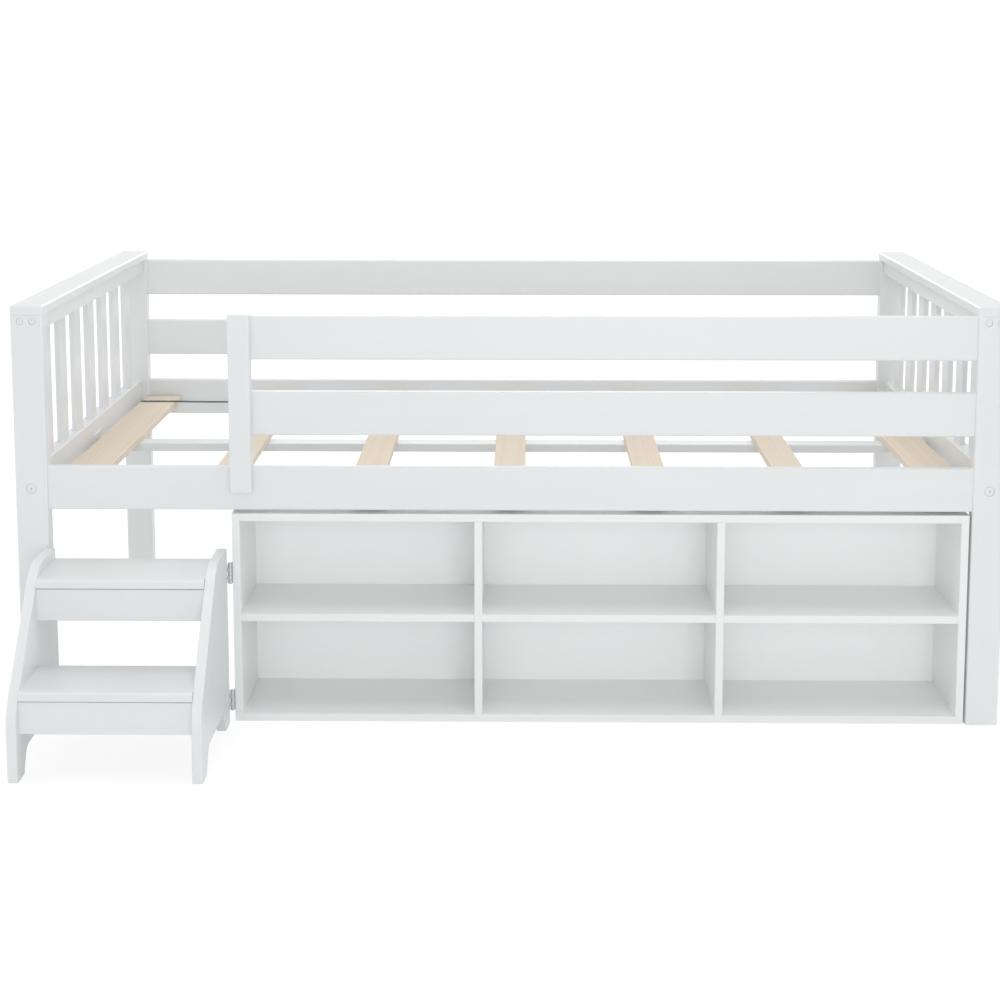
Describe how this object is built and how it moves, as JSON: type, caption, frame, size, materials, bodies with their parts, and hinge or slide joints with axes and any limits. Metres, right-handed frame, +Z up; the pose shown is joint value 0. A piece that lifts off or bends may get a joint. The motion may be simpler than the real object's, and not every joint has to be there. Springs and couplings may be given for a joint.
{
  "type": "low loft bed",
  "caption": "Low wooden loft bed with slatted ends, guard rails, bare wood slats, an open bookcase below and a set of steps that swings out on butt hinges.",
  "frame": {"origin": "on the floor, under the middle of the whole footprint with the steps folded in line in front of the bed", "axes": "+Z up, +X along the bed from the steps' end to the bookcase's end, +Y from the front to the back"},
  "size_m": [2.019, 1.39, 0.871],
  "materials": {
    "white_paint": "smooth satin white paint on solid wood",
    "white_board": "smooth satin white lacquer on board",
    "bare_wood": "planed bare softwood with straight grain",
    "webbing": "woven dark webbing",
    "hinge_steel": "satin nickel-plated steel",
    "screw_white": "white enamelled steel, as on the screw heads and the centre board's cleats",
    "bolt_zinc": "pale bolt heads"
  },
  "bodies": {
    "bed": {"post_front_left": "white_paint", "post_rear_left": "white_paint", "cap_left": "white_paint", "end_top_rail_left": "white_paint", "end_bottom_rail_left": "white_paint", "spindles_left": "white_paint", "post_front_right": "white_paint", "post_rear_right": "white_paint", "cap_right": "white_paint", "end_top_rail_right": "white_paint", "end_bottom_rail_right": "white_paint", "spindles_right": "white_paint", "side_rail_front": "white_paint", "guard_rail_front_lower": "white_paint", "guard_rail_front_upper": "white_paint", "side_rail_rear": "white_paint", "guard_rail_rear_lower": "white_paint", "guard_rail_rear_upper": "white_paint", "guard_post": "white_paint", "slat_1": "bare_wood", "slat_2": "bare_wood", "slat_3": "bare_wood", "slat_4": "bare_wood", "slat_5": "bare_wood", "slat_6": "bare_wood", "slat_7": "bare_wood", "ledger_front": "white_paint", "slat_strap_front": "webbing", "ledger_rear": "white_paint", "slat_strap_rear": "webbing", "centre_board": "white_paint", "centre_board_cleats": "screw_white", "bookcase_side_left": "white_board", "bookcase_side_right": "white_board", "bookcase_bottom": "white_board", "bookcase_top": "white_board", "bookcase_back": "white_board", "bookcase_divider_1": "white_board", "bookcase_divider_2": "white_board", "bookcase_shelf_1": "white_board", "bookcase_shelf_2": "white_board", "bookcase_shelf_3": "white_board", "bookcase_dowels": "bare_wood", "hinge_leaf_fixed_upper": "hinge_steel", "hinge_pin_upper": "hinge_steel", "hinge_leaf_fixed_lower": "hinge_steel", "hinge_pin_lower": "hinge_steel", "top_screws": "screw_white", "end_rail_bolts": "bolt_zinc", "rail_bolts": "bolt_zinc", "barrel_nuts": "bolt_zinc", "guard_post_screws": "bolt_zinc"},
    "steps": {"steps_side_left": "white_paint", "steps_side_right": "white_paint", "steps_tread_upper": "white_paint", "steps_tread_lower": "white_paint", "steps_apron_upper": "white_paint", "steps_apron_lower": "white_paint", "hinge_leaf_moving_upper": "hinge_steel", "hinge_leaf_moving_lower": "hinge_steel"}
  },
  "joints": [
    {"name": "steps_swing", "type": "hinge", "parent": "bed", "child": "steps", "pos_m": [-0.5732, -0.3613, 0.026], "axis": [0, 0, 1], "range_deg": [0, 90]}
  ]
}
